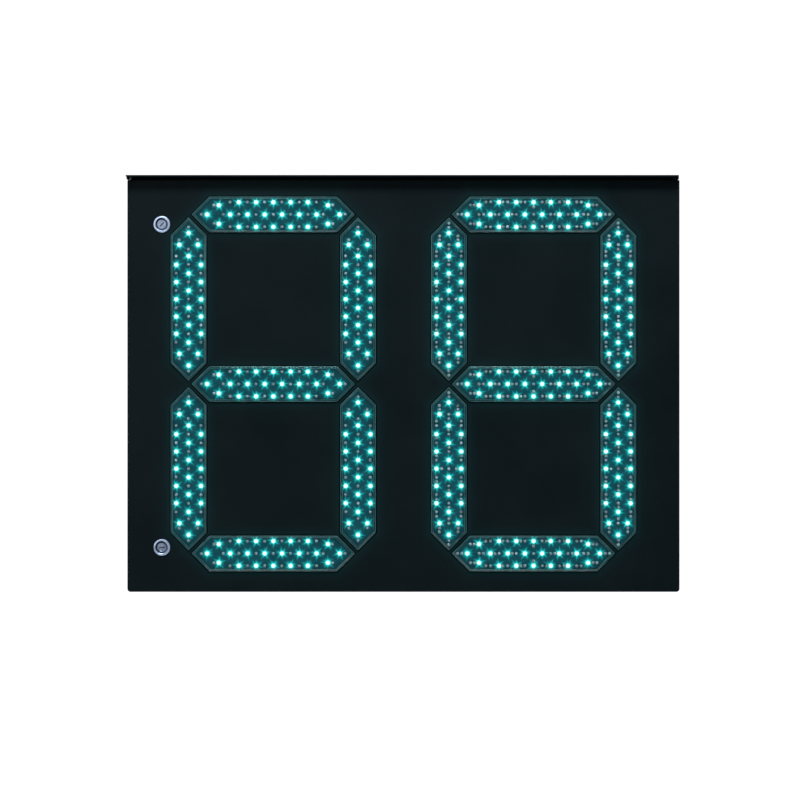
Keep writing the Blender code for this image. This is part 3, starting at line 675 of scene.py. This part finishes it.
def wire(bm, knots, r, sides=8, per=8):
    """A round wire along a smooth line, closed at both ends; knots in mm."""
    pts = catmull(knots, per)
    up = Vector((0.3, 0.9, 0.2)).normalized()
    rings = []
    for i, p in enumerate(pts):
        t = (pts[min(i + 1, len(pts) - 1)] - pts[max(i - 1, 0)]).normalized()
        n = (up - t * up.dot(t)).normalized()
        up = n
        b = t.cross(n)
        rings.append([bm.verts.new((p + (n * math.cos(q) + b * math.sin(q)) * r) * MM)
                      for q in (2 * math.pi * j / sides for j in range(sides))])
    for a, c in zip(rings, rings[1:]):
        for j in range(sides):
            bm.faces.new((a[j], a[(j + 1) % sides], c[(j + 1) % sides], c[j]))
    bm.faces.new(rings[0])
    bm.faces.new(rings[-1])


# driver board parts, on the back of the control board (its back face is at y -110.4)
top = -110.4
bm = bmesh.new()
for x0, x1, z0, z1, h in ((140, 158, -112, -100, 2.6), (176, 194, -112, -100, 2.6), (212, 230, -112, -100, 2.6),
                          (172, 192, -148, -128, 1.8)):
    soft_box(bm, (x0 + 0.3, top, z0 + 0.3), (x1 - 0.3, top + h + 0.35, z1 - 0.3), 0.35)
for k in range(5):
    soft_box(bm, (122 + 22 * k, top, -93.5), (129 + 22 * k, top + 1.8, -88.5), 0.25)
piece("control_board_chips", to_mesh(bm, "chips"), CHIP, "door")
bm = bmesh.new()
for x0, x1, z0, z1, h in ((140, 158, -112, -100, 2.6), (176, 194, -112, -100, 2.6), (212, 230, -112, -100, 2.6)):
    for k in range(8):
        x = x0 + 1.6 + k * 2.1
        for z_, dz in ((z0, -1.4), (z1, 1.4)):
            soft_box(bm, (x - 0.3, top - 0.02, min(z_, z_ + dz)), (x + 0.3, top + 0.7, max(z_, z_ + dz)), 0.08)
for k in range(10):
    z_ = -146.6 + k * 1.9
    for x_, dx in ((172, -1.5), (192, 1.5)):
        soft_box(bm, (min(x_, x_ + dx), top - 0.02, z_ - 0.25), (max(x_, x_ + dx), top + 0.5, z_ + 0.25), 0.08)
for sx in (-1, 1):
    for sz in (-1, 1):
        button_screw(bm, out_of("+y", 189 + sx * 69, top, -120 + sz * 49), 3.0, 1.8, 1.2)
piece("control_board_pins", to_mesh(bm, "pins"), TIN, "door")
bm = bmesh.new()
for k in range(14):
    x = 126.2 + k * 6.35
    soft_box(bm, (x, -101.1, -77.6), (x + 5.2, -98.6, -70.4), 0.4)
soft_box(bm, (238.5, -100.1, -149.5), (251.5, -98.4, -126.5), 0.4)
piece("control_board_headers", to_mesh(bm, "headers"), WHITE_PLASTIC, "door")
bm = bmesh.new()
lathe(bm, scaled([(0, 0), (6.2, 0), (6.2, 11.6), (5.6, 12.5), (0, 12.5)]), 24, out_of("+y", 140, top, -150))
lathe(bm, scaled([(0, 0), (4.0, 0), (4.0, 8.6), (3.5, 9.2), (0, 9.2)]), 20, out_of("+y", 156, top, -152))
lathe(bm, scaled([(0, 0), (4.0, 0), (4.0, 8.6), (3.5, 9.2), (0, 9.2)]), 20, out_of("+y", 214, top, -152))
piece("control_board_capacitors", to_mesh(bm, "cans"), CAN, "door")
bm = bmesh.new()
for row in range(4):
    for k in range(9):
        x, z_ = 206 + k * 3.2, -128 - row * 4.6
        soft_box(bm, (x, top, z_), (x + 1.6, top + 0.6, z_ + 3.0), 0.15)
for k in range(12):
    soft_box(bm, (124 + k * 3.6, top, -123), (125.7 + k * 3.6, top + 0.6, -119.6), 0.15)
piece("control_board_resistors", to_mesh(bm, "resistors"), RESIST, "door")

# one lead from each segment board to the driver board
plugs = bmesh.new()
reds, blacks = bmesh.new(), bmesh.new()
for k, (digit, letter, x, z, up) in enumerate(segment_places()):
    soft_box(plugs, (x - 6.4, -108.0, z - 3.6) if not up else (x - 3.6, -108.0, z - 6.4),
             (x + 6.4, -105.2, z + 3.6) if not up else (x + 3.6, -105.2, z + 6.4), 0.5)
    hx = 128.8 + k * 6.35
    lane = -31 - (k % 7) * 2.6
    if digit == "units" and letter in ("c", "d", "e"):
        lane = -54 - (k % 3) * 2.6
    level = -106.6 + (k % 3) * 1.1
    mid_x = x + (hx - x) * 0.18
    knots = [(x, -106.0, z), (x + (hx - x) * 0.04, -104.4, z + (lane - z) * 0.08), (mid_x, level, z + (lane - z) * 0.7),
             (x + (hx - x) * 0.5, level, lane), (hx + (x - hx) * 0.12, level, lane), (hx, -104.0, lane - 6 if lane > -50 else -62),
             (hx, -100.4, -70.6), (hx, -99.6, -74.0)]
    if lane < -50:
        knots[5] = (hx, -103.0, -62.0)
    for bm_, off in ((reds, -0.95), (blacks, 0.95)):
        wire(bm_, [(a + off, b, c + off * 0.5) for a, b, c in knots], 0.8, 6, 7)
piece("module_lead_plugs", to_mesh(plugs, "lead_plugs"), WHITE_PLASTIC, "door")
piece("module_leads_red", to_mesh(reds, "red_leads"), RED_WIRE, "door")
piece("module_leads_black", to_mesh(blacks, "black_leads"), BLACK_WIRE, "door")

# supply: the perforated lid's vent holes as dark discs of painted shade, screws and terminal screws
# painted shade: near-black discs on the lid stand in for the dark inside its vent holes
bm = bmesh.new()
for i in range(22):
    for j in range(11):
        x = -160 + i * 8.2
        z_ = -170.5 + j * 9.6 + (4.8 if i % 2 else 0)
        if z_ < -72:
            lathe(bm, scaled([(0, -0.3), (2.3, -0.3), (2.3, 0.12), (1.9, 0.2), (0, 0.2)]), 6, out_of("-y", x, -74, z_))
piece("supply_vents", to_mesh(bm, "vents"), CHIP, "case")
bm = bmesh.new()
for x, z_ in ((-165, -173), (-165, -71), (17, -173), (17, -71)):
    button_screw(bm, out_of("-y", x, -74, z_), 2.8, 1.5, 1.1)
for k in range(9):
    button_screw(bm, out_of("-y", 33, -52, -161 + k * 9.8), 3.2, 1.6, 1.2)
for i in range(6):
    x = 178 - i * 11.2 - 5.6
    for z_ in (-144.5, -131.5):
        button_screw(bm, out_of("-y", x, -38, z_), 2.9, 1.6, 1.1)
piece("terminal_screws", to_mesh(bm, "screws"), ZINC, "case")
bm = bmesh.new()
for k in range(8):
    soft_box(bm, (27, -54.5, -156.9 + k * 9.8), (39.5, -51.5, -155.3 + k * 9.8), 0.2)
piece("supply_terminal_barriers", to_mesh(bm, "barriers"), CHIP, "case")
for name, mat, z_a, xk in (("live_wire", RED_WIRE, -151.2, 5), ("neutral_wire", BLACK_WIRE, -141.4, 4)):
    bm = bmesh.new()
    x_b = 178 - xk * 11.2 - 5.6
    wire(bm, [(34, -54.6, z_a), (46, -56, z_a - 1), (62, -50, z_a - 14), (84, -42, -170), (x_b - 3, -38, -166),
              (x_b, -38, -152), (x_b, -37.4, -146)], 1.4, 10, 8)
    piece(name, to_mesh(bm, name), mat, "case")
bm = bmesh.new()
wire(bm, [(172.4, -37.4, -131), (172.4, -40, -122), (190, -42, -116), (222, -40, -122), (246, -38, -140), (250, -36.4, -152)],
     1.5, 10, 8)
lathe(bm, scaled([(3.2, 0), (6.0, 0), (6.0, 0.9), (3.2, 0.9), (3.2, 0)]), 20, out_of("-y", 250, -34.6, -160))
weld(bm)
piece("earth_wire", to_mesh(bm, "earth_wire"), EARTH_WIRE, "case")


# ties and clips that hold the looms
def tie(bm, at, r):
    lathe(bm, scaled([(r, -1.3), (r + 0.8, -1.3), (r + 0.8, 1.3), (r, 1.3), (r, -1.3)]), 20, at)
    made = bmesh.ops.create_cube(bm, size=1.0)
    bmesh.ops.scale(bm, vec=(4.2 * MM, 3.2 * MM, 3.4 * MM), verts=made["verts"])
    bmesh.ops.transform(bm, matrix=at @ Matrix.Translation((0, (r + 1.8) * MM, 0)), verts=made["verts"])


bm = bmesh.new()
case_line = catmull([(46, -62, -120), (90, -66, -160), (170, -68, -200), (258, -67, -240), (316, -63, -264), (347, -61, -264),
                     (361, -60, -248), (362, -60, -237)], 20)
for k in (36, 68, 130):
    along = case_line[k + 1] - case_line[k - 1]
    tie(bm, Matrix.Translation(case_line[k] * MM) @ along.to_track_quat("Z", "Y").to_matrix().to_4x4(), 3.7)
weld(bm)
piece("case_loom_ties", to_mesh(bm, "ties"), TIE, "case")

# keyways: a dark block of painted shadow at the bottom of each key slot
for tag, z0, turn in (("upper", 234.0, -45.0), ("lower", -234.0, 0.0)):
    bm = bmesh.new()
    soft_box(bm, (-4.1, -122.9, -0.85), (4.1, -120.8, 0.85), 0.3)
    soft_box(bm, (-1.2, -123.15, -0.6), (1.2, -122.7, 0.6), 0.15)
    weld(bm)
    piece("lock_" + tag + "_keyway", to_mesh(bm, "keyway"), KEYWAY, BODY["lock_" + tag + "_plug"],
          Matrix.Translation((-350 * MM, 0, z0 * MM)) @ Matrix.Rotation(math.radians(turn), 4, "Y"))

# nuts inside the back wall, under the rail bolts and hood screws
bm = bmesh.new()
for z0 in (190, -190):
    for k, x in enumerate((-320, -160, 0, 160, 320)):
        for dz in (-27.5, 27.5):
            at = out_of("-y", x, -23.85, z0 + dz)
            lathe(bm, scaled([(0, 0), (6.5, 0), (6.5, 1.0), (0, 1.0)]), 20, at)
            lathe(bm, scaled([(0, 1.05), (5.77, 1.05), (5.77, 5.3), (5.0, 6.0), (0, 6.0)]), 6,
                  at @ Matrix.Rotation(0.5 * k + dz, 4, "Z"))
            lathe(bm, scaled([(0, 6.0), (2.9, 6.0), (2.9, 8.6), (2.4, 9.2), (0, 9.2)]), 12, at)
for k in range(7):
    at = out_of("-y", -360 + 120 * k, -23.85, 293.5)
    lathe(bm, scaled([(0, 0), (4.6, 0), (4.6, 3.2), (4.0, 3.8), (0, 3.8)]), 6, at)
    lathe(bm, scaled([(0, 3.8), (2.0, 3.8), (2.0, 5.6), (1.6, 6.0), (0, 6.0)]), 12, at)
piece("back_wall_nuts", to_mesh(bm, "nuts"), ZINC, "case")

# the loom's free loop at the hinge, drawn as it lies with the door shut, in place of the frame's hidden hinge_loop
bm = bmesh.new()
loop = [(362, -60, -236), (361.5, -60, -221), (350, -59, -199), (342, -65, -170), (357, -83, -138), (369, -97, -108),
        (368, -105, -86), (359, -106, -72), (346, -106, -70)]
wire(bm, loop, 3.5, 16, 14)
hinge = piece("hinge_loop_sleeve", to_mesh(bm, "hinge_loop"), SLEEVE, None)
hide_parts("hinge_loop")
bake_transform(hinge)

# ---------------------------------------------------------------- stage and light
floor_mesh = bpy.data.meshes.new("floor")
bm = bmesh.new()
bmesh.ops.create_grid(bm, x_segments=1, y_segments=1, size=2.2)
bm.to_mesh(floor_mesh)
bm.free()
floor = bpy.data.objects.new("floor", floor_mesh)
floor.location = (0, -0.2, -1.35)
bpy.context.scene.collection.objects.link(floor)
floor_mat, tree, shader = nodes_of("pale_floor")
shader.inputs["Base Color"].default_value = (0.9, 0.9, 0.9, 1)
shader.inputs["Roughness"].default_value = 0.9
floor_mesh.materials.append(floor_mat)

world = bpy.data.worlds.new("studio")
bpy.context.scene.world = world
world.use_nodes = True
wt = world.node_tree
back = wt.nodes["Background"]
back.inputs["Color"].default_value = (0.93, 0.96, 1.0, 1)
way = wt.nodes.new("ShaderNodeTexCoord")
parts = wt.nodes.new("ShaderNodeSeparateXYZ")
wt.links.new(way.outputs["Generated"], parts.inputs["Vector"])
room = wt.nodes.new("ShaderNodeMapRange")
for key, value in (("From Min", -0.95), ("From Max", 0.30), ("To Min", 0.06), ("To Max", 0.44)):
    room.inputs[key].default_value = value
wt.links.new(parts.outputs["Y"], room.inputs["Value"])
wt.links.new(room.outputs["Result"], back.inputs["Strength"])
white = wt.nodes.new("ShaderNodeBackground")
white.inputs["Color"].default_value = (1, 1, 1, 1)
white.inputs["Strength"].default_value = 1.05
path = wt.nodes.new("ShaderNodeLightPath")
mix = wt.nodes.new("ShaderNodeMixShader")
wt.links.new(path.outputs["Is Camera Ray"], mix.inputs["Fac"])
wt.links.new(back.outputs["Background"], mix.inputs[1])
wt.links.new(white.outputs["Background"], mix.inputs[2])
wt.links.new(mix.outputs["Shader"], wt.nodes["World Output"].inputs["Surface"])


def area(name, at, target, size, power, colour=(1, 1, 1)):
    data = bpy.data.lights.new(name, "AREA")
    data.shape, data.size, data.size_y = "RECTANGLE", size[0], size[1]
    data.energy, data.color = power, colour
    ob = bpy.data.objects.new(name, data)
    ob.location = at
    ob.rotation_euler = (Vector(target) - Vector(at)).to_track_quat("-Z", "Y").to_euler()
    bpy.context.scene.collection.objects.link(ob)


area("top_softbox", (0.0, -1.7, 2.3), (0, -0.12, 0), (1.8, 0.7), 110, (0.95, 0.98, 1.0))
area("front_fill", (-1.8, -3.0, 0.8), (0, -0.12, 0), (1.6, 1.6), 25)
area("back_fill", (1.2, 2.6, 1.4), (0, 0, 0), (2.0, 1.6), 75)
